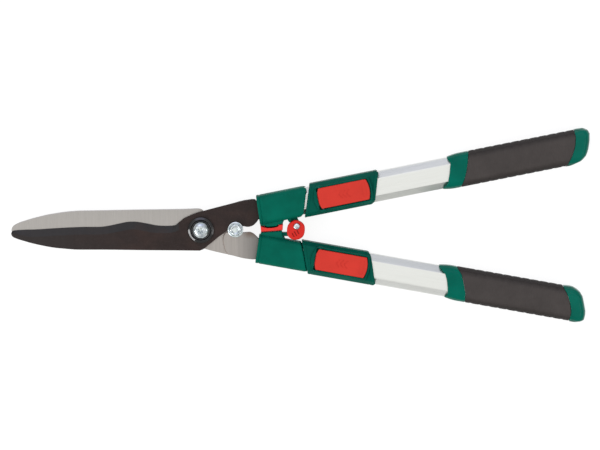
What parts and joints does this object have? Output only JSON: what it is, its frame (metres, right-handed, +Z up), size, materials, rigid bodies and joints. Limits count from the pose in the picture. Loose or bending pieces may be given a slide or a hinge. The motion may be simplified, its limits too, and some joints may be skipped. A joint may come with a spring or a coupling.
{
  "type": "telescopic hedge shears",
  "caption": "Hand hedge shears with two wavy crossing blades, a pivot bolt, a lock knob, telescoping tube handles with cam levers and soft grips.",
  "frame": {"origin": "on the blade pivot's axis, at the end face of the pivot bolt, which is the plane that the shears lie on", "axes": "+X along the shears from the blade tips to the grips, +Y to the handle of the black blade, +Z up out of the resting plane, along the pivot axis towards the bolt head"},
  "size_m": [0.6892, 0.2312, 0.0325],
  "materials": {
    "black_coated_steel": "dark non-stick coating over steel, semi-gloss",
    "ground_steel": "crosswise ground steel",
    "zinc": "bright zinc plate",
    "green_plastic": "fine satin moulding",
    "red_plastic": "satin moulding",
    "soft_red": "matte elastomer",
    "black_plastic": "glossy moulding",
    "grey_plastic": "matte",
    "aluminium": "satin anodised",
    "grip_rubber": "matte soft grip, fine crosswise ribs"
  },
  "bodies": {
    "upper_side": {"black_blade": "black_coated_steel", "upper_tang_spacer": "black_coated_steel", "upper_socket": "green_plastic", "rubber_buffer": "soft_red", "upper_inner_tube": "aluminium", "upper_glide_bush": "grey_plastic", "pivot_bolt": "zinc", "pivot_cup": "black_plastic", "pivot_washer": "zinc", "pivot_nut": "zinc", "knob_screw": "zinc", "knob_nut": "zinc", "upper_tang_screw": "zinc", "upper_tube_screw": "zinc"},
    "lower_side": {"silver_blade": "ground_steel", "lower_tang_plate": "ground_steel", "lower_socket": "green_plastic", "stop_bolt": "zinc", "stop_bolt_nut": "zinc", "lower_inner_tube": "aluminium", "lower_glide_bush": "grey_plastic", "lower_tang_screw": "zinc", "lower_tube_screw": "zinc"},
    "lock_knob": {"lock_knob": "red_plastic"},
    "upper_slider": {"upper_clamp_housing": "green_plastic", "upper_housing_rivet": "zinc", "upper_lever_pin": "zinc", "upper_clamp_pad": "grey_plastic", "upper_outer_tube": "aluminium", "upper_grip_collar": "green_plastic", "upper_grip_sleeve": "grip_rubber", "upper_grip_end_cap": "green_plastic"},
    "upper_lever": {"upper_clamp_lever": "red_plastic"},
    "lower_slider": {"lower_clamp_housing": "green_plastic", "lower_housing_rivet": "zinc", "lower_lever_pin": "zinc", "lower_clamp_pad": "grey_plastic", "lower_outer_tube": "aluminium", "lower_grip_collar": "green_plastic", "lower_grip_sleeve": "grip_rubber", "lower_grip_end_cap": "green_plastic"},
    "lower_lever": {"lower_clamp_lever": "red_plastic"}
  },
  "joints": [
    {"name": "blade_pivot", "type": "hinge", "parent": "upper_side", "child": "lower_side", "pos_m": [0, 0, 0.015], "axis": [0, 0, -1], "range_deg": [0, 50]},
    {"name": "lock_knob_turn", "type": "hinge", "parent": "upper_side", "child": "lock_knob", "pos_m": [0.1141, 0.00407, 0.0235], "axis": [0, 0, 1], "range_deg": [0, 60]},
    {"name": "upper_handle_slide", "type": "slide", "parent": "upper_side", "child": "upper_slider", "axis": [0.9826, 0.1859, 0], "range_m": [-0.002, 0.218]},
    {"name": "upper_lever_hinge", "type": "hinge", "parent": "upper_slider", "child": "upper_lever", "pos_m": [0.14382, 0.03713, 0.0302], "axis": [0.1859, -0.9826, 0], "range_deg": [0, 100]},
    {"name": "lower_handle_slide", "type": "slide", "parent": "lower_side", "child": "lower_slider", "axis": [0.9826, -0.1859, 0], "range_m": [0, 0.22]},
    {"name": "lower_lever_hinge", "type": "hinge", "parent": "lower_slider", "child": "lower_lever", "pos_m": [0.13959, -0.03633, 0.0302], "axis": [-0.1859, -0.9826, 0], "range_deg": [0, 100]}
  ]
}
